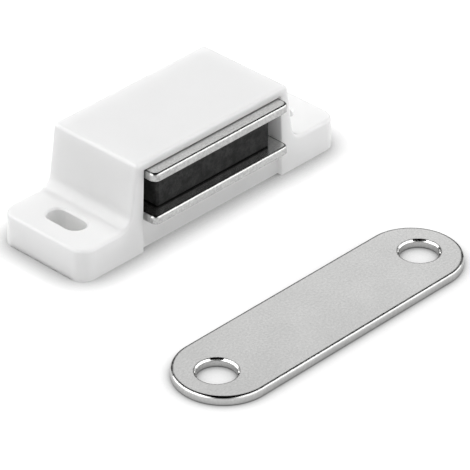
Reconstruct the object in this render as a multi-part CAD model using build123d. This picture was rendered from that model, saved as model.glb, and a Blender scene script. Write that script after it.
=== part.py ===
from build123d import *
from math import radians, tan
import os

# Magnetic cabinet catch and the strike plate that goes with it.
# Millimetres. The origin is the centre of the catch's mounting face, +X runs along the catch
# from ear to ear, -Y is the side that the magnet looks out of, and +Z stands off the mounting face.

# Pole plates: two equal punched steel plates with the magnet held between them
PLATE_LENGTH = 24.2
PLATE_DEPTH = 14.0
PLATE_THICKNESS = 1.2
PLATE_FRONT_CORNER = 1.0
PLATE_BACK_CORNER = 0.5
PLATE_ROUNDED_EDGE = 0.35
PLATE_CUT_EDGE = 0.15

# Magnet: one sintered block, set back from the plates on every side
MAGNET_THICKNESS = 5.0
MAGNET_END_SETBACK = 2.0
MAGNET_FRONT_SETBACK = 1.65
MAGNET_REAR_SETBACK = 1.35
MAGNET_CORNER = 0.3
MAGNET_EDGE = 0.25

# How the magnet pack sits in the housing: it floats in and out by FLOAT each way
PROTRUSION = 1.75
FLOAT = 0.5
STOP_GAP = 0.1
STACK_GAP = 0.1
END_GAP = 0.1
REAR_GAP = 1.05

# Keeper ribs: one upright rib on each end wall of the pocket, in the notches of the plates
KEEPER_SETBACK = 4.0
KEEPER_WIDTH = 1.5
KEEPER_HEIGHT = 0.9
KEEPER_TIP_GAP = 0.25

# Housing walls
CORE_DEPTH = 3.0
FLOOR_WALL = 1.2
TOP_WALL = 1.2
SIDE_WALL = 1.25
BACK_WALL = 1.5
PANEL_SETBACK = 0.75
POCKET_LEAN = 2.0

# Housing outline
WALL_LEAN = 8.5
ROOT_RADIUS = 2.1
TOP_CORNER = 0.6
EAR_HEIGHT = 4.4
EAR_REACH = 8.2
EAR_DRAFT = 2.5
EAR_CORNER = 2.1
OUTER_EDGE = 0.4
WINDOW_EDGE = 0.15

# Screw slots in the ears
SLOT_LENGTH = 6.0
SLOT_WIDTH = 2.8
SLOT_SETBACK = 4.35
SLOT_EDGE = 0.25

# Cells that core out the underside below the pocket
CELL_COUNT = 4
CELL_RIB = 1.2
CELL_END_WALL = 1.25
CELL_CORNER = 0.5

# Strike plate, lying in front of the catch
STRIKE_LENGTH = 46.4
STRIKE_WIDTH = 12.8
STRIKE_THICKNESS = 1.2
STRIKE_HOLE_SETBACK = 5.2
STRIKE_HOLE_RADIUS = 2.5
STRIKE_ROUNDED_EDGE = 0.35
STRIKE_HOLE_EDGE = 0.25
STRIKE_CUT_EDGE = 0.12
STRIKE_DISTANCE = 25.7
STRIKE_SHIFT = -7.9

# Worked out from the sizes above
POCKET_FLOOR = CORE_DEPTH + FLOOR_WALL
LOWER_PLATE_Z = POCKET_FLOOR + STACK_GAP
MAGNET_Z = LOWER_PLATE_Z + PLATE_THICKNESS
UPPER_PLATE_Z = MAGNET_Z + MAGNET_THICKNESS
POCKET_CEILING = UPPER_PLATE_Z + PLATE_THICKNESS + STACK_GAP
HEIGHT = POCKET_CEILING + TOP_WALL
POCKET_TOP_X = PLATE_LENGTH / 2 + END_GAP
POCKET_FOOT_X = POCKET_TOP_X + (POCKET_CEILING - POCKET_FLOOR) * tan(radians(POCKET_LEAN))
KEEPER_TIP_X = POCKET_TOP_X - KEEPER_HEIGHT
TOP_LENGTH = 2 * (POCKET_TOP_X + SIDE_WALL)
DEPTH = PLATE_DEPTH - PROTRUSION + REAR_GAP + BACK_WALL
FRONT_Y = -DEPTH / 2
PLATE_FRONT_Y = FRONT_Y - PROTRUSION
PLATE_BACK_Y = PLATE_FRONT_Y + PLATE_DEPTH
POCKET_BACK_Y = DEPTH / 2 - BACK_WALL
KEEPER_FRONT_Y = FRONT_Y + KEEPER_SETBACK
KEEPER_BACK_Y = KEEPER_FRONT_Y + KEEPER_WIDTH
WALL_FOOT_X = TOP_LENGTH / 2 + (HEIGHT - EAR_HEIGHT) * tan(radians(WALL_LEAN))
EAR_TOP_X = WALL_FOOT_X + EAR_REACH
EAR_BASE_X = EAR_TOP_X + EAR_HEIGHT * tan(radians(EAR_DRAFT))
SLOT_X = EAR_TOP_X - SLOT_SETBACK
STRIKE_HOLE_X = STRIKE_LENGTH / 2 - STRIKE_HOLE_SETBACK
NEAR = 0.01
CUT_PAST = 1.0


def block(x, y, z):
    """A box between the two limits given for each axis."""
    size = (x[1] - x[0], y[1] - y[0], z[1] - z[0])
    return Pos(x[0], y[0], z[0]) * Box(*size, align=(Align.MIN, Align.MIN, Align.MIN))


def housing_block():
    """The outside of the moulding: the side view drawn once and extruded front to back."""
    outline = Polyline(
        (-EAR_BASE_X, 0),
        (EAR_BASE_X, 0),
        (EAR_TOP_X, EAR_HEIGHT),
        (WALL_FOOT_X, EAR_HEIGHT),
        (TOP_LENGTH / 2, HEIGHT),
        (-TOP_LENGTH / 2, HEIGHT),
        (-WALL_FOOT_X, EAR_HEIGHT),
        (-EAR_TOP_X, EAR_HEIGHT),
        close=True,
    )
    side_view = Plane.XZ * make_face(outline)
    roots = [v for v in side_view.vertices() if abs(abs(v.X) - WALL_FOOT_X) < NEAR]
    side_view = fillet(roots, ROOT_RADIUS)
    tops = [v for v in side_view.vertices() if abs(v.Z - HEIGHT) < NEAR]
    side_view = fillet(tops, TOP_CORNER)
    solid = extrude(side_view, DEPTH / 2, both=True)

    ear_corners = [e for e in solid.edges() if abs(e.center().X) > EAR_TOP_X and abs(e.center().Y) > NEAR]
    ear_corners = [e for e in ear_corners if NEAR < e.center().Z < EAR_HEIGHT - NEAR]
    solid = fillet(ear_corners, EAR_CORNER)

    rim = [e for e in solid.edges() if e.center().Z > EAR_HEIGHT - NEAR]
    ends = [e for e in rim if abs(e.center().X) > EAR_TOP_X - EAR_CORNER]
    sides = [e for e in rim if abs(e.center().Y) > DEPTH / 2 - NEAR]
    return fillet(ShapeList(set(ends + sides)), OUTER_EDGE)


def pocket():
    """The room for the magnet pack, open at the front and narrower at the top, less two ribs."""
    outline = Polyline(
        (-POCKET_FOOT_X, POCKET_FLOOR),
        (POCKET_FOOT_X, POCKET_FLOOR),
        (POCKET_TOP_X, POCKET_CEILING),
        (-POCKET_TOP_X, POCKET_CEILING),
        close=True,
    )
    front_y = FRONT_Y - CUT_PAST
    room = extrude(Plane.XZ.offset(-front_y) * make_face(outline), front_y - POCKET_BACK_Y)
    for x in ((-POCKET_FOOT_X, -KEEPER_TIP_X), (KEEPER_TIP_X, POCKET_FOOT_X)):
        room -= block(x, (KEEPER_FRONT_Y, KEEPER_BACK_Y), (POCKET_FLOOR, POCKET_CEILING))
    return room


def underside_cells():
    """A row of shallow cells that core out the floor below the pocket."""
    front = FRONT_Y + PANEL_SETBACK + BACK_WALL
    back = DEPTH / 2 - BACK_WALL
    span = 2 * (POCKET_FOOT_X - CELL_END_WALL)
    pitch = (span + CELL_RIB) / CELL_COUNT
    cell = RectangleRounded(pitch - CELL_RIB, back - front, CELL_CORNER)
    row = GridLocations(pitch, 1, CELL_COUNT, 1)
    cells = Sketch() + [Pos(0, (front + back) / 2, 0) * place * cell for place in row]
    return extrude(cells, CORE_DEPTH)


def make_housing():
    """The moulded housing with its two slotted ears."""
    x = (-POCKET_FOOT_X, POCKET_FOOT_X)
    solid = housing_block()
    solid -= pocket()
    solid -= block(x, (FRONT_Y - CUT_PAST, FRONT_Y + PANEL_SETBACK), (-CUT_PAST, POCKET_FLOOR))

    window = [e for e in solid.edges() if abs(e.center().Y - FRONT_Y) < NEAR]
    window = [e for e in window if abs(e.center().X) < POCKET_FOOT_X + NEAR]
    window = [e for e in window if NEAR < e.center().Z < POCKET_CEILING + NEAR]
    solid = fillet(window, WINDOW_EDGE)

    for x in (-SLOT_X, SLOT_X):
        solid -= extrude(Pos(x, 0, 0) * SlotOverall(SLOT_LENGTH, SLOT_WIDTH, rotation=90), HEIGHT)
    rims = [e for e in solid.edges() if abs(e.center().Z - EAR_HEIGHT) < NEAR]
    rims = [e for e in rims if abs(abs(e.center().X) - SLOT_X) < SLOT_WIDTH / 2 + NEAR]
    rims = [e for e in rims if abs(e.center().Y) < SLOT_LENGTH / 2 + NEAR]
    solid = chamfer(rims, SLOT_EDGE)
    return solid - underside_cells()


def make_pole_plate(bottom):
    """A punched plate: the punch rounds one edge, and its ends are notched for the keeper ribs."""
    middle = (PLATE_FRONT_Y + PLATE_BACK_Y) / 2
    plate = Pos(0, middle, bottom) * extrude(Rectangle(PLATE_LENGTH, PLATE_DEPTH), PLATE_THICKNESS)
    corners = plate.edges().filter_by(Axis.Z)
    plate = fillet(corners.group_by(Axis.Y)[0], PLATE_FRONT_CORNER)
    back = [e for e in plate.edges().filter_by(Axis.Z) if abs(e.center().Y - PLATE_BACK_Y) < NEAR]
    plate = fillet(back, PLATE_BACK_CORNER)
    plate = fillet(plate.faces().sort_by(Axis.Z)[-1].edges(), PLATE_ROUNDED_EDGE)
    plate = chamfer(plate.faces().sort_by(Axis.Z)[0].edges(), PLATE_CUT_EDGE)

    notch_x = KEEPER_TIP_X - KEEPER_TIP_GAP
    play = FLOAT + STOP_GAP
    y = (KEEPER_FRONT_Y - play, KEEPER_BACK_Y + play)
    z = (bottom - CUT_PAST, bottom + PLATE_THICKNESS + CUT_PAST)
    for x in ((-PLATE_LENGTH, -notch_x), (notch_x, PLATE_LENGTH)):
        plate -= block(x, y, z)
    return plate


def make_magnet():
    """The magnet block, with its upright corners and its edges broken."""
    half = PLATE_LENGTH / 2 - MAGNET_END_SETBACK
    y = (PLATE_FRONT_Y + MAGNET_FRONT_SETBACK, PLATE_BACK_Y - MAGNET_REAR_SETBACK)
    magnet = block((-half, half), y, (MAGNET_Z, UPPER_PLATE_Z))
    magnet = chamfer(magnet.edges().filter_by(Axis.Z), MAGNET_CORNER)
    ends = magnet.faces().sort_by(Axis.Z)
    return chamfer(ends[0].edges() + ends[-1].edges(), MAGNET_EDGE)


def make_strike_plate():
    """A flat bar with round ends and two screw holes, rounded on the side that shows."""
    plate = extrude(SlotOverall(STRIKE_LENGTH, STRIKE_WIDTH), STRIKE_THICKNESS)
    plate = fillet(plate.faces().sort_by(Axis.Z)[-1].edges(), STRIKE_ROUNDED_EDGE)
    for x in (-STRIKE_HOLE_X, STRIKE_HOLE_X):
        plate -= extrude(Pos(x, 0, 0) * Circle(STRIKE_HOLE_RADIUS), STRIKE_THICKNESS)
    rims = [e for wire in plate.faces().sort_by(Axis.Z)[-1].inner_wires() for e in wire.edges()]
    plate = chamfer(rims, STRIKE_HOLE_EDGE)
    plate = chamfer(plate.faces().sort_by(Axis.Z)[0].edges(), STRIKE_CUT_EDGE)
    return Pos(STRIKE_SHIFT, FRONT_Y - STRIKE_DISTANCE, 0) * plate


nodes = {
    "housing": make_housing(),
    "lower_pole_plate": make_pole_plate(LOWER_PLATE_Z),
    "upper_pole_plate": make_pole_plate(UPPER_PLATE_Z),
    "magnet": make_magnet(),
    "strike_plate": make_strike_plate(),
}

os.makedirs("parts", exist_ok=True)
for name, solid in nodes.items():
    export_step(solid, f"parts/{name}.step")
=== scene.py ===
"""Looks of a magnetic cabinet catch and its strike plate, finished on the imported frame.

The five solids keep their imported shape. This file gives each its finish and sets a white
studio round them. Lengths are metres, in the frame's own axes: +X from ear to ear, -Y the
way the magnet looks, +Z off the mounting face.
"""
import math

import bmesh
import bpy
from bpy.props import FloatProperty, FloatVectorProperty, PointerProperty
from bpy.types import Operator, Panel, PropertyGroup
from mathutils import Matrix, Vector

bl_info = {
    "name": "Magnetic Catch",
    "version": (1, 0, 0),
    "blender": (4, 5, 0),
    "location": "3D View > Sidebar > Catch",
    "description": "Finishes a magnetic cabinet catch and lights it in a white studio",
    "category": "Material",
}

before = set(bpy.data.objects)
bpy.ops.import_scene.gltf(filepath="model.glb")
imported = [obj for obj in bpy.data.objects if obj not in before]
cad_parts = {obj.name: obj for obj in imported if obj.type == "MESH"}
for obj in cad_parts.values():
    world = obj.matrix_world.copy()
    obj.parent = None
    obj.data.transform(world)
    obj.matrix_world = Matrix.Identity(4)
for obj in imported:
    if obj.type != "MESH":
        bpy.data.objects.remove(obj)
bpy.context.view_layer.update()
MM = 0.001

# The parts of a punched plate, told apart by the height of the surface's normal: 1 on the flat
# sides and 0 on the punched ones. At the first value a part has not begun, and at the second
# it is reached in full. The rim is where a tumbled edge begins to round, and there a thin dark
# line is painted, a painted reflection of the dark room.
FLAT_SIDE = {"From Min": 0.993, "From Max": 0.9995}
PUNCHED_SIDE = {"From Min": 0.75, "From Max": 0.6}
RIM_BEGINS = {"From Min": 0.9993, "From Max": 0.996}
RIM_NOT_ENDED = {"From Min": 0.74, "From Max": 0.82}

# The share of each noise that is used. Nearly all of a noise lies within the first of these.
NOISE_SPAN = {"From Min": 0.3, "From Max": 0.7}
GRAIN_SPAN = {"From Min": 0.35, "From Max": 0.65}
PALE_GRAIN_SPAN = {"From Min": 0.16, "From Max": 0.4}

# The specks of the torn sides also thin the painted dark reflection line on the rim, to 0.7 of it at the
# least.
RIM_BREAKS = {"From Min": 0.4, "From Max": 0.55, "To Min": 0.7}

# How open a crevice is to the light, from as dark as the painted shade gets to fully lit. The
# metal and the ferrite get this painted shade in their colour.
CREVICE_SPAN = {"From Min": 0.35, "From Max": 0.85}

# A Mix node has a socket of each name for every kind of value. These are its colours.
COLOUR_A = 6
COLOUR_B = 7
MIXED_COLOUR = 2
BLEND = {"data_type": "RGBA"}
DARKEN = {"data_type": "RGBA", "blend_type": "MULTIPLY"}
TIMES = {"operation": "MULTIPLY"}

# The studio's fixed measures. The floor lies at the catch's mounting face, which is the
# frame's zero height, and the lamps face a point between the catch and its strike plate.
FLOOR_HEIGHT = 0.0
FLOOR_RADIUS = 2.5
FLOOR_SIDES = 96
LAMP_TARGET = Vector((0.0, -0.012, 0.004))
SOFTBOX_BEARING = math.radians(75)
SOFTBOX_RISE = math.radians(15)
SOFTBOX_DISTANCE = 0.8
SOFTBOX_WIDTH = 0.6
SOFTBOX_HEIGHT = 0.4
TOP_SOFTBOX_RISE = math.radians(88)
TOP_SOFTBOX_WIDTH = 0.7
REFLECTOR_BEARING = math.radians(102)
REFLECTOR_RISE = math.radians(36)
REFLECTOR_DISTANCE = 0.9
REFLECTOR_WIDTH = 1.9
REFLECTOR_HEIGHT = 1.05
CEILING = 0.7
HORIZON = 0.9
HORIZON_CARD_HEIGHT = 0.31
NEAREST_SEEN = 0.01
FARTHEST_SEEN = 10

# A camera's sensor is measured in millimetres, as its lens is.
SENSOR_WIDTH_MM = 36

# How far towards the room's front end the fill falls from its brightest to its dimmest, from
# 0 overhead to 1 straight ahead.
FILL_SPAN = {"From Min": 0.0, "From Max": 0.8}


def linear(code):
    """The linear colour of an sRGB hex value, as Blender's sockets want it."""
    parts = [int(code[i:i + 2], 16) / 255 for i in (1, 3, 5)]
    return tuple(p / 12.92 if p <= 0.04045 else ((p + 0.055) / 1.055) ** 2.4 for p in parts)


def add(tree, kind, settings=None, inputs=None):
    """Adds a node. An input is a plain value, a socket to link from, or a node, which stands
    for its first output."""
    node = tree.nodes.new(kind)
    for name, value in (settings or {}).items():
        setattr(node, name, value)
    for name, value in (inputs or {}).items():
        if isinstance(value, bpy.types.Node):
            value = value.outputs[0]
        if isinstance(value, bpy.types.NodeSocket):
            tree.links.new(value, node.inputs[name])
        else:
            node.inputs[name].default_value = value
    return node


def empty_tree(owner):
    """The node tree of a new material or world, with nothing in it."""
    owner.use_nodes = True
    owner.node_tree.nodes.clear()
    return owner.node_tree


def moulded_abs(settings):
    """White ABS, injection moulded in a finely spark-eroded tool.

    To the eye: a clean, cool white with a soft satin gloss, brightest along its radiused
    edges, with a trace of unevenness from the tool and from shrinkage. The tool's grain is
    drawn coarser than the real one, which is too fine to show.
    """
    material = bpy.data.materials.new("moulded_white_abs")
    tree = empty_tree(material)
    place = add(tree, "ShaderNodeTexCoord").outputs["Object"]
    grain = add(tree, "ShaderNodeTexNoise", inputs={"Vector": place, "Scale": 1 / settings.grain})
    shrinkage = add(tree, "ShaderNodeTexNoise", inputs={"Vector": place, "Scale": 1 / settings.shrinkage})
    pale = add(tree, "ShaderNodeMapRange", inputs={
        "Value": shrinkage, **NOISE_SPAN, "To Min": 1.0 - settings.unevenness})
    white = add(tree, "ShaderNodeMix", DARKEN, {
        "Factor": 1.0, COLOUR_A: (*settings.colour, 1.0), COLOUR_B: pale})
    rough = add(tree, "ShaderNodeMapRange", inputs={
        "Value": grain, **NOISE_SPAN,
        "To Min": settings.gloss - settings.gloss_spread,
        "To Max": settings.gloss + settings.gloss_spread})
    waves = add(tree, "ShaderNodeBump", inputs={"Distance": settings.shrinkage_depth, "Height": shrinkage})
    skin = add(tree, "ShaderNodeBump", inputs={
        "Distance": settings.grain_depth, "Height": grain, "Normal": waves})
    plastic = add(tree, "ShaderNodeBsdfPrincipled", inputs={
        "Base Color": white.outputs[MIXED_COLOUR], "Roughness": rough, "IOR": 1.53, "Normal": skin,
        "Subsurface Weight": 1.0, "Subsurface Radius": (1.0, 1.0, 1.0),
        "Subsurface Scale": settings.glow_depth})
    add(tree, "ShaderNodeOutputMaterial", inputs={"Surface": plastic})
    return material


def plated_steel(name, settings):
    """Mild steel strip, punched to shape, tumbled and then nickel plated.

    To the eye: a neutral grey metal. Its flat sides keep the fine grain of the rolled strip
    and look satin. The tumbled edges are mirror-like, with a thin dark line painted where each
    begins to round, a painted reflection of the dark room. The punched sides are darker and
    speckled where the steel tore, and painted shade darkens the metal where another piece
    comes close. The grain is drawn coarser than the real one, which is too fine to show.
    """
    material = bpy.data.materials.new(name)
    tree = empty_tree(material)
    coordinates = add(tree, "ShaderNodeTexCoord")
    place = coordinates.outputs["Object"]
    facing = add(tree, "ShaderNodeSeparateXYZ", inputs={0: coordinates.outputs["Normal"]})
    upright = add(tree, "ShaderNodeMath", {"operation": "ABSOLUTE"}, {0: facing.outputs["Z"]})
    flat = add(tree, "ShaderNodeMapRange", inputs={"Value": upright, **FLAT_SIDE})
    torn = add(tree, "ShaderNodeMapRange", inputs={"Value": upright, **PUNCHED_SIDE})
    rounded = add(tree, "ShaderNodeBevel", {"samples": 6}, {"Radius": settings.edge_radius})
    leaning = add(tree, "ShaderNodeSeparateXYZ", inputs={0: rounded}).outputs["Z"]

    grain = add(tree, "ShaderNodeTexNoise", inputs={
        "Vector": place, "Scale": 1 / settings.grain, "Detail": 3.0, "Roughness": 0.6})
    tear = add(tree, "ShaderNodeTexNoise", inputs={
        "Vector": place, "Scale": 1 / settings.tear, "Detail": 3.0, "Roughness": 0.65})
    cloud = add(tree, "ShaderNodeTexNoise", inputs={"Vector": place, "Scale": 1 / settings.cloud})
    rolled = add(tree, "ShaderNodeMath", TIMES, {0: grain, 1: flat})
    rolled_skin = add(tree, "ShaderNodeBump", inputs={
        "Distance": settings.grain_depth, "Height": rolled, "Normal": rounded})
    specks = add(tree, "ShaderNodeMath", TIMES, {0: tear, 1: torn})
    skin = add(tree, "ShaderNodeBump", inputs={
        "Distance": settings.tear_depth, "Height": specks, "Normal": rolled_skin})

    # Painted reflection: a thin dark line is painted into the colour and the specular tint where an edge
    # begins to round, in place of the dark room that the edge would mirror.
    begun = add(tree, "ShaderNodeMapRange", inputs={"Value": leaning, **RIM_BEGINS})
    not_ended = add(tree, "ShaderNodeMapRange", inputs={"Value": leaning, **RIM_NOT_ENDED})
    line = add(tree, "ShaderNodeMath", TIMES, {0: begun, 1: not_ended})
    broken = add(tree, "ShaderNodeMapRange", inputs={"Value": tear, **RIM_BREAKS})
    rim = add(tree, "ShaderNodeMath", TIMES, {0: line, 1: broken})
    painted_line_shade = add(tree, "ShaderNodeMapRange", inputs={
        "Value": rim, "To Min": 1.0, "To Max": settings.painted_line_level})
    painted_line_tint = add(tree, "ShaderNodeMix", DARKEN, {
        "Factor": 1.0, COLOUR_A: (1.0, 1.0, 1.0, 1.0), COLOUR_B: painted_line_shade})

    # Painted shade: the metal's colour is darkened where another piece comes close, as shade would fall in
    # the crevice.
    gap = add(tree, "ShaderNodeAmbientOcclusion", {"samples": 8}, {"Distance": settings.crevice})
    level = add(tree, "ShaderNodeMapRange", inputs={
        "Value": cloud, **NOISE_SPAN, "To Min": 1.0 - settings.cloud_depth})
    mottle = add(tree, "ShaderNodeMapRange", inputs={
        "Value": grain, **GRAIN_SPAN, "To Min": 1.0 - settings.mottle})
    side_shade = add(tree, "ShaderNodeMapRange", inputs={
        "Value": torn, "To Min": 1.0, "To Max": settings.side_level})
    painted_gap_shade = add(tree, "ShaderNodeMapRange", inputs={
        "Value": gap.outputs["AO"], **CREVICE_SPAN, "To Min": settings.crevice_level})
    for shade in (mottle, side_shade, painted_line_shade, painted_gap_shade):
        level = add(tree, "ShaderNodeMath", TIMES, {0: level, 1: shade})
    plating = add(tree, "ShaderNodeMix", DARKEN, {
        "Factor": 1.0, COLOUR_A: (*settings.colour, 1.0), COLOUR_B: level})

    dull = add(tree, "ShaderNodeMath", {"operation": "MAXIMUM"}, {0: flat, 1: torn})
    rough = add(tree, "ShaderNodeMapRange", inputs={
        "Value": dull, "To Min": settings.edge_gloss, "To Max": settings.face_gloss})
    metal = add(tree, "ShaderNodeBsdfPrincipled", inputs={
        "Base Color": plating.outputs[MIXED_COLOUR], "Metallic": 1.0, "Roughness": rough,
        "Specular Tint": painted_line_tint.outputs[MIXED_COLOUR], "Normal": skin})
    add(tree, "ShaderNodeOutputMaterial", inputs={"Surface": metal})
    return material


def sintered_ferrite(settings):
    """Ferrite, pressed from powder, sintered and left unground.

    To the eye: a charcoal ceramic, dull and faintly crystalline, with pale grains here and
    there that catch the light. Painted shade darkens it where a plate comes close. The grains are
    drawn coarser than the real ones.
    """
    material = bpy.data.materials.new("sintered_ferrite")
    tree = empty_tree(material)
    place = add(tree, "ShaderNodeTexCoord").outputs["Object"]
    grain = add(tree, "ShaderNodeTexNoise", inputs={
        "Vector": place, "Scale": 1 / settings.grain, "Detail": 4.0, "Roughness": 0.75})
    cloud = add(tree, "ShaderNodeTexNoise", inputs={"Vector": place, "Scale": 1 / settings.cloud})
    clustered = add(tree, "ShaderNodeMath", TIMES, {0: grain, 1: cloud})
    share = add(tree, "ShaderNodeMapRange", inputs={"Value": clustered, **PALE_GRAIN_SPAN})
    grained = add(tree, "ShaderNodeMix", BLEND, {
        "Factor": share, COLOUR_A: (*settings.dark, 1.0), COLOUR_B: (*settings.pale, 1.0)})
    # Painted shade: the ferrite's colour is darkened where a plate comes close, as shade would fall in the
    # joint.
    gap = add(tree, "ShaderNodeAmbientOcclusion", {"samples": 8}, {"Distance": settings.crevice})
    painted_gap_shade = add(tree, "ShaderNodeMapRange", inputs={
        "Value": gap.outputs["AO"], **CREVICE_SPAN, "To Min": settings.crevice_level})
    charcoal = add(tree, "ShaderNodeMix", DARKEN, {
        "Factor": 1.0, COLOUR_A: grained.outputs[MIXED_COLOUR], COLOUR_B: painted_gap_shade})
    skin = add(tree, "ShaderNodeBump", inputs={"Distance": settings.grain_depth, "Height": grain})
    ceramic = add(tree, "ShaderNodeBsdfPrincipled", inputs={
        "Base Color": charcoal.outputs[MIXED_COLOUR], "Roughness": settings.gloss, "IOR": 1.5,
        "Specular IOR Level": 0.15, "Normal": skin})
    add(tree, "ShaderNodeOutputMaterial", inputs={"Surface": ceramic})
    return material


def finish_node(name, material):
    """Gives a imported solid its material."""
    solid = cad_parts[name]
    solid.data.materials.clear()
    solid.data.materials.append(material)


class HousingSettings(PropertyGroup):
    """The moulding's finish."""
    colour: FloatVectorProperty(
        name="Colour", description="Colour of the plastic", subtype="COLOR",
        default=linear("#FBFBFA"), min=0, max=1)
    unevenness: FloatProperty(
        name="Unevenness", description="How much darker the plastic is where it shrank most",
        default=0.015, subtype="FACTOR", min=0, max=1)
    gloss: FloatProperty(
        name="Roughness", description="Roughness of the moulded skin",
        default=0.21, subtype="FACTOR", min=0, max=1)
    gloss_spread: FloatProperty(
        name="Roughness spread", description="How far the grain takes the roughness up and down",
        default=0.03, subtype="FACTOR", min=0, max=1)
    grain: FloatProperty(
        name="Grain", description="Width of the tool's grain, drawn coarser than the real one",
        default=0.35 * MM, unit="LENGTH")
    grain_depth: FloatProperty(
        name="Grain depth", description="Height of the tool's grain",
        default=0.002 * MM, unit="LENGTH")
    shrinkage: FloatProperty(
        name="Shrinkage", description="Width of the shallow waves left by shrinkage",
        default=7 * MM, unit="LENGTH")
    shrinkage_depth: FloatProperty(
        name="Shrinkage depth", description="Height of those waves",
        default=0.03 * MM, unit="LENGTH")
    glow_depth: FloatProperty(
        name="Glow depth", description="How far light spreads inside the plastic",
        default=1.5 * MM, unit="LENGTH")


class Plating:
    """The finish that the punched and plated steel pieces share."""
    side_level: FloatProperty(
        name="Side brightness", description="How bright the torn sides are, beside the flat ones",
        default=0.62, subtype="FACTOR", min=0, max=1)
    # Brightness of the painted dark reflection line on the rims.
    painted_line_level: FloatProperty(
        name="Rim brightness", description="How bright the thin line is where an edge begins to round",
        default=0.06, subtype="FACTOR", min=0, max=1)
    edge_gloss: FloatProperty(
        name="Edge roughness", description="Roughness of the tumbled edges",
        default=0.06, subtype="FACTOR", min=0, max=1)
    edge_radius: FloatProperty(
        name="Edge radius", description="How far tumbling has softened the cut edges",
        default=0.25 * MM, unit="LENGTH")
    grain: FloatProperty(
        name="Grain", description="Width of the rolled grain, drawn coarser than the real one",
        default=0.3 * MM, unit="LENGTH")
    tear: FloatProperty(
        name="Tear", description="Width of the specks on the punched sides",
        default=0.22 * MM, unit="LENGTH")
    tear_depth: FloatProperty(
        name="Tear depth", description="Height of those specks",
        default=0.006 * MM, unit="LENGTH")
    cloud: FloatProperty(
        name="Cloud", description="Width of the faint clouds in the plating",
        default=5 * MM, unit="LENGTH")
    # Reach of the painted shade in crevices.
    crevice: FloatProperty(
        name="Crevice", description="How close another piece must be to darken it",
        default=0.35 * MM, unit="LENGTH")


class PolePlateSettings(Plating, PropertyGroup):
    """The bright but scuffed plating of the two pole plates."""
    colour: FloatVectorProperty(
        name="Colour", description="Colour of the plating", subtype="COLOR",
        default=linear("#EFEFEE"), min=0, max=1)
    face_gloss: FloatProperty(
        name="Face roughness", description="Roughness of the flat sides",
        default=0.22, subtype="FACTOR", min=0, max=1)
    grain_depth: FloatProperty(
        name="Grain depth", description="Height of the rolled grain",
        default=0.008 * MM, unit="LENGTH")
    # Brightness of the metal under the painted crevice shade.
    crevice_level: FloatProperty(
        name="Crevice brightness", description="How bright the metal is in such a crevice",
        default=0.4, subtype="FACTOR", min=0, max=1)
    mottle: FloatProperty(
        name="Mottle", description="How much the grain darkens the plating",
        default=0.22, subtype="FACTOR", min=0, max=1)
    cloud_depth: FloatProperty(
        name="Cloud depth", description="How much the clouds darken the plating",
        default=0.08, subtype="FACTOR", min=0, max=1)


class StrikePlateSettings(Plating, PropertyGroup):
    """The clean satin plating of the strike plate."""
    colour: FloatVectorProperty(
        name="Colour", description="Colour of the plating", subtype="COLOR",
        default=linear("#F3F3F2"), min=0, max=1)
    face_gloss: FloatProperty(
        name="Face roughness", description="Roughness of the flat sides",
        default=0.18, subtype="FACTOR", min=0, max=1)
    grain_depth: FloatProperty(
        name="Grain depth", description="Height of the rolled grain",
        default=0.003 * MM, unit="LENGTH")
    # Brightness of the metal under the painted crevice shade.
    crevice_level: FloatProperty(
        name="Crevice brightness", description="How bright the metal is in such a crevice",
        default=0.75, subtype="FACTOR", min=0, max=1)
    mottle: FloatProperty(
        name="Mottle", description="How much the grain darkens the plating",
        default=0.12, subtype="FACTOR", min=0, max=1)
    cloud_depth: FloatProperty(
        name="Cloud depth", description="How much the clouds darken the plating",
        default=0.06, subtype="FACTOR", min=0, max=1)


class MagnetSettings(PropertyGroup):
    """The ferrite block's finish."""
    dark: FloatVectorProperty(
        name="Body colour", description="Colour of the ferrite", subtype="COLOR",
        default=linear("#181818"), min=0, max=1)
    pale: FloatVectorProperty(
        name="Grain colour", description="Colour of its pale grains", subtype="COLOR",
        default=linear("#3A3A3A"), min=0, max=1)
    gloss: FloatProperty(
        name="Roughness", description="Roughness of the unground faces",
        default=0.6, subtype="FACTOR", min=0, max=1)
    grain: FloatProperty(
        name="Grain", description="Width of the grains, drawn coarser than the real ones",
        default=0.35 * MM, unit="LENGTH")
    grain_depth: FloatProperty(
        name="Grain depth", description="Height of the grains",
        default=0.03 * MM, unit="LENGTH")
    cloud: FloatProperty(
        name="Cloud", description="Width of the patches with more or fewer pale grains",
        default=1.5 * MM, unit="LENGTH")
    # Reach of the painted shade where a plate comes close.
    crevice: FloatProperty(
        name="Crevice", description="How close a plate must be to darken it",
        default=0.5 * MM, unit="LENGTH")
    # Brightness of the ferrite under that painted shade.
    crevice_level: FloatProperty(
        name="Crevice brightness", description="How bright the ferrite is in such a crevice",
        default=0.25, subtype="FACTOR", min=0, max=1)


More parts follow.
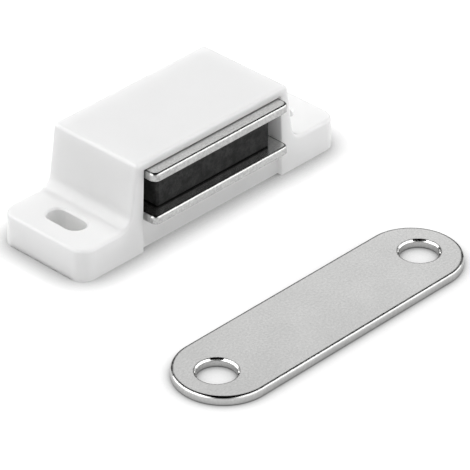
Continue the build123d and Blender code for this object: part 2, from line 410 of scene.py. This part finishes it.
class StudioSettings(PropertyGroup):
    """The camera, the lamps, the floor and the room's light."""
    camera_place: FloatVectorProperty(
        name="Camera", description="Where the camera stands", subtype="TRANSLATION",
        default=(-0.2962, -0.2971, 0.2658))
    camera_yaw: FloatProperty(
        name="Camera yaw", description="Camera's turn about the upright, from looking along +Y",
        default=math.radians(-46.004), unit="ROTATION")
    camera_drop: FloatProperty(
        name="Camera drop", description="How far the camera looks down",
        default=math.radians(33.007), unit="ROTATION")
    lens: FloatProperty(
        name="Lens", description="Focal length, for a sensor 36 mm wide",
        default=298.1, unit="CAMERA")
    left_power: FloatProperty(
        name="Left softbox", description="Radiance of the softbox on the left", default=1.35, min=0)
    right_power: FloatProperty(
        name="Right softbox", description="Radiance of the softbox on the right", default=0.8, min=0)
    top_power: FloatProperty(
        name="Top softbox", description="Radiance of the softbox above", default=1.85, min=0)
    left_reflector_power: FloatProperty(
        name="Left reflector", description="Radiance of the reflector that edges facing left mirror",
        default=2.4, min=0)
    right_reflector_power: FloatProperty(
        name="Right reflector", description="Radiance of the reflector that edges facing right mirror",
        default=1.3, min=0)
    back_fill: FloatProperty(
        name="Back fill", description="Light on the object from the room's bright half, behind it",
        default=0.85, min=0)
    front_fill: FloatProperty(
        name="Front fill", description="Light on the object from the room's dim half, in front of it",
        default=0.29, min=0)
    floor_colour: FloatVectorProperty(
        name="Floor colour", description="Colour of the floor", subtype="COLOR",
        default=linear("#BCBCBC"), min=0, max=1)
    bounce_colour: FloatVectorProperty(
        name="Bounce colour", description="Colour of the light that the floor throws back on the object",
        subtype="COLOR", default=linear("#FAFAFA"), min=0, max=1)
    floor_glow: FloatProperty(
        name="Floor glow", description="What whitens the floor to the camera and in the metal",
        default=0.65, min=0)
    # Reach and strength of the painted contact shadow on the floor.
    contact_reach: FloatProperty(
        name="Contact shadow", description="How far the close shadow reaches",
        default=4.2 * MM, unit="LENGTH")
    contact_strength: FloatProperty(
        name="Contact strength", description="How dark the close shadow is", default=1.25, min=0)


class CATCH_OT_finish_housing(Operator):
    """Give the moulded housing its white ABS"""
    bl_idname = "catch.finish_housing"
    bl_label = "Finish Housing"

    def execute(self, context):
        finish_node("housing", moulded_abs(context.scene.catch_housing))
        return {"FINISHED"}


class CATCH_OT_finish_pole_plates(Operator):
    """Give both pole plates their bright nickel plating"""
    bl_idname = "catch.finish_pole_plates"
    bl_label = "Finish Pole Plates"

    def execute(self, context):
        plating = plated_steel("bright_nickel_plate", context.scene.catch_pole_plates)
        for name in ("lower_pole_plate", "upper_pole_plate"):
            finish_node(name, plating)
        return {"FINISHED"}


class CATCH_OT_finish_magnet(Operator):
    """Give the magnet its sintered ferrite"""
    bl_idname = "catch.finish_magnet"
    bl_label = "Finish Magnet"

    def execute(self, context):
        finish_node("magnet", sintered_ferrite(context.scene.catch_magnet))
        return {"FINISHED"}


class CATCH_OT_finish_strike_plate(Operator):
    """Give the strike plate its satin nickel plating"""
    bl_idname = "catch.finish_strike_plate"
    bl_label = "Finish Strike Plate"

    def execute(self, context):
        plating = plated_steel("satin_nickel_plate", context.scene.catch_strike_plate)
        finish_node("strike_plate", plating)
        return {"FINISHED"}


def mirrored_or_seen(tree):
    """1 for what the camera, gloss or glass sees directly, and 0 for light that falls on the object."""
    path = add(tree, "ShaderNodeLightPath")
    seen = path.outputs["Is Camera Ray"]
    for ray in ("Is Glossy Ray", "Is Transmission Ray"):
        seen = add(tree, "ShaderNodeMath", {"operation": "ADD", "use_clamp": True}, {
            0: seen, 1: path.outputs[ray]})
    return seen


def pale_floor(settings):
    """Matt white studio floor, painted freshly enough to throw most of its light back.

    To the camera and in the metal it is white, and keeps the object's shadow from the lamps.
    A painted shadow is added close round the object, darkest where they touch."""
    material = bpy.data.materials.new("matt_white_floor")
    tree = empty_tree(material)
    seen = mirrored_or_seen(tree)
    # Painted shadow: an ambient-occlusion node darkens the floor's colour and glow close round the object,
    # on top of the lamps' own shadows.
    gap = add(tree, "ShaderNodeAmbientOcclusion", {"samples": 8}, {"Distance": settings.contact_reach})
    close = add(tree, "ShaderNodeMath", {"operation": "POWER"}, {
        0: gap.outputs["AO"], 1: settings.contact_strength})
    shaded = add(tree, "ShaderNodeMix", DARKEN, {
        "Factor": 1.0, COLOUR_A: (*settings.floor_colour, 1.0), COLOUR_B: close})
    paint = add(tree, "ShaderNodeMix", BLEND, {
        "Factor": seen, COLOUR_A: (*settings.bounce_colour, 1.0),
        COLOUR_B: shaded.outputs[MIXED_COLOUR]})
    diffuse = add(tree, "ShaderNodeBsdfDiffuse", inputs={"Color": paint.outputs[MIXED_COLOUR]})
    lit = add(tree, "ShaderNodeMath", TIMES, {0: seen, 1: close})
    glow = add(tree, "ShaderNodeMath", TIMES, {0: lit, 1: settings.floor_glow})
    emission = add(tree, "ShaderNodeEmission", inputs={"Strength": glow})
    both = add(tree, "ShaderNodeAddShader", inputs={0: diffuse, 1: emission})
    add(tree, "ShaderNodeOutputMaterial", inputs={"Surface": both})
    return material


def black_board():
    """Matt black board. Only the metal mirrors it, as a dark band with soft ends."""
    material = bpy.data.materials.new("black_card")
    tree = empty_tree(material)
    black = add(tree, "ShaderNodeBsdfDiffuse", inputs={"Color": (*linear("#0A0A0A"), 1.0)})
    add(tree, "ShaderNodeOutputMaterial", inputs={"Surface": black})
    return material


def white_room(settings):
    """The world: white to the camera and in the metal. On the object it is a soft fill, bright
    from the white sweep behind it and dim from the dark end of the room, in front."""
    world = bpy.data.worlds.new("white_room")
    tree = empty_tree(world)
    direction = add(tree, "ShaderNodeTexCoord").outputs["Generated"]
    turn = settings.camera_yaw - math.pi / 2
    front = (math.cos(turn), math.sin(turn), 0.0)
    forward = add(tree, "ShaderNodeVectorMath", {"operation": "DOT_PRODUCT"}, {0: direction, 1: front})
    fill = add(tree, "ShaderNodeMapRange", inputs={
        "Value": forward.outputs["Value"], **FILL_SPAN,
        "To Min": settings.back_fill, "To Max": settings.front_fill})
    strength = add(tree, "ShaderNodeMapRange", inputs={"Value": mirrored_or_seen(tree), "To Min": fill})
    background = add(tree, "ShaderNodeBackground", inputs={"Strength": strength})
    add(tree, "ShaderNodeOutputWorld", inputs={"Surface": background})
    bpy.context.scene.world = world


def studio_point(yaw, bearing, rise, distance):
    """A point of the studio. Bearing 0 is straight behind the object as the camera sees it,
    and it grows to the camera's left. Rise is the angle above the floor, all in radians."""
    turn = math.pi / 2 + yaw + bearing
    flat = math.cos(rise)
    direction = Vector((flat * math.cos(turn), flat * math.sin(turn), math.sin(rise)))
    return LAMP_TARGET + distance * direction


def softbox(name, place, width, height, radiance, mirrored=False):
    """A rectangular lamp that faces the object. It lights the object or is mirrored in it. Its
    power is what gives that radiance over its area."""
    lamp = bpy.data.lights.new(name, "AREA")
    lamp.shape = "RECTANGLE"
    lamp.size = width
    lamp.size_y = height
    lamp.energy = radiance * math.pi * width * height
    box = bpy.data.objects.new(name, lamp)
    bpy.context.scene.collection.objects.link(box)
    box.location = place
    box.rotation_mode = "QUATERNION"
    box.rotation_quaternion = (LAMP_TARGET - box.location).to_track_quat("-Z", "Y")
    box.visible_diffuse = not mirrored
    box.visible_glossy = mirrored


def hang_lamps(settings):
    """Two softboxes and one overhead light the object. Two broad reflectors show in its gloss."""
    yaw = settings.camera_yaw
    for name, bearing, power in (
        ("left_softbox", SOFTBOX_BEARING, settings.left_power),
        ("right_softbox", -SOFTBOX_BEARING, settings.right_power),
    ):
        place = studio_point(yaw, bearing, SOFTBOX_RISE, SOFTBOX_DISTANCE)
        softbox(name, place, SOFTBOX_WIDTH, SOFTBOX_HEIGHT, power)
    overhead = studio_point(yaw, 0.0, TOP_SOFTBOX_RISE, SOFTBOX_DISTANCE)
    softbox("top_softbox", overhead, TOP_SOFTBOX_WIDTH, TOP_SOFTBOX_WIDTH, settings.top_power)
    for name, bearing, power in (
        ("left_reflector", REFLECTOR_BEARING, settings.left_reflector_power),
        ("right_reflector", -REFLECTOR_BEARING, settings.right_reflector_power),
    ):
        place = studio_point(yaw, bearing, REFLECTOR_RISE, REFLECTOR_DISTANCE)
        softbox(name, place, REFLECTOR_WIDTH, REFLECTOR_HEIGHT, power, mirrored=True)


def stage_sheet(name, shape, material):
    """Stands a flat bmesh in the studio, apart from the object, and frees it."""
    mesh = bpy.data.meshes.new(name)
    shape.to_mesh(mesh)
    shape.free()
    mesh.materials.append(material)
    sheet = bpy.data.objects.new(name, mesh)
    bpy.context.scene.collection.objects.link(sheet)
    return sheet


def lay_floor(settings):
    """A round floor, wide enough to reach past every view."""
    shape = bmesh.new()
    height = Matrix.Translation((0.0, 0.0, FLOOR_HEIGHT))
    bmesh.ops.create_circle(shape, cap_ends=True, segments=FLOOR_SIDES, radius=FLOOR_RADIUS, matrix=height)
    stage_sheet("studio_floor", shape, pale_floor(settings))


def dark_card(name, board, yaw, behind, left, up, width, depth, upright=False):
    """A black card that only the metal mirrors, either level or upright.

    Its middle is so far behind the object, to its left and above the floor, as the camera sees
    it. Its width runs across the view, and its depth away from the camera, or upwards if the
    card is upright."""
    turn = Matrix.Rotation(yaw + math.pi / 2, 4, "Z")
    middle = Matrix.Translation((behind, left, up))
    tip = Matrix.Rotation(math.pi / 2 if upright else 0.0, 4, "Y")
    size = Matrix.Diagonal((depth, width, 1.0, 1.0))
    shape = bmesh.new()
    bmesh.ops.create_grid(
        shape, x_segments=1, y_segments=1, size=0.5, matrix=turn @ middle @ tip @ size)
    card = stage_sheet(name, shape, board)
    card.visible_camera = False
    card.visible_diffuse = False
    card.visible_shadow = False


def hang_cards(settings):
    """The dark parts of the room that the metal's flat sides and edges mirror."""
    board = black_board()
    yaw = settings.camera_yaw
    dark_card(
        "back_ceiling_card", board, yaw, behind=0.58, left=-0.12, up=CEILING, width=1.16, depth=0.48)
    dark_card(
        "front_ceiling_card", board, yaw, behind=-0.58, left=0.0, up=CEILING, width=0.75, depth=1.84)
    dark_card(
        "horizon_card", board, yaw, behind=HORIZON, left=0.0, up=HORIZON_CARD_HEIGHT / 2,
        width=1.5, depth=HORIZON_CARD_HEIGHT, upright=True)


def place_camera(settings):
    """The camera at the photograph's own place, with its own lens."""
    lens = bpy.data.cameras.new("camera")
    lens.lens = settings.lens
    lens.sensor_width = SENSOR_WIDTH_MM
    lens.clip_start = NEAREST_SEEN
    lens.clip_end = FARTHEST_SEEN
    camera = bpy.data.objects.new("camera", lens)
    bpy.context.scene.collection.objects.link(camera)
    camera.location = settings.camera_place
    camera.rotation_euler = (math.pi / 2 - settings.camera_drop, 0.0, settings.camera_yaw)
    bpy.context.scene.camera = camera


class CATCH_OT_build_studio(Operator):
    """Build the floor, the room, the lamps, the dark cards and the camera"""
    bl_idname = "catch.build_studio"
    bl_label = "Build Studio"

    def execute(self, context):
        settings = context.scene.catch_studio
        lay_floor(settings)
        white_room(settings)
        hang_lamps(settings)
        hang_cards(settings)
        place_camera(settings)
        context.scene.view_settings.view_transform = "Standard"
        return {"FINISHED"}


STEPS = (
    CATCH_OT_finish_housing,
    CATCH_OT_finish_pole_plates,
    CATCH_OT_finish_magnet,
    CATCH_OT_finish_strike_plate,
    CATCH_OT_build_studio,
)


class CATCH_PT_steps(Panel):
    """The catch's finishes and its studio"""
    bl_label = "Magnetic Catch"
    bl_space_type = "VIEW_3D"
    bl_region_type = "UI"
    bl_category = "Catch"

    def draw(self, context):
        for step in STEPS:
            self.layout.operator(step.bl_idname)


GROUPS = {
    "catch_housing": HousingSettings,
    "catch_pole_plates": PolePlateSettings,
    "catch_strike_plate": StrikePlateSettings,
    "catch_magnet": MagnetSettings,
    "catch_studio": StudioSettings,
}
CLASSES = (*GROUPS.values(), *STEPS, CATCH_PT_steps)


def register():
    for each in CLASSES:
        bpy.utils.register_class(each)
    for name, group in GROUPS.items():
        setattr(bpy.types.Scene, name, PointerProperty(type=group))


def unregister():
    for name in GROUPS:
        delattr(bpy.types.Scene, name)
    for each in reversed(CLASSES):
        bpy.utils.unregister_class(each)


def main():
    register()
    for step in STEPS:
        area, action = step.bl_idname.split(".")
        getattr(getattr(bpy.ops, area), action)()


if __name__ == "__main__":
    main()
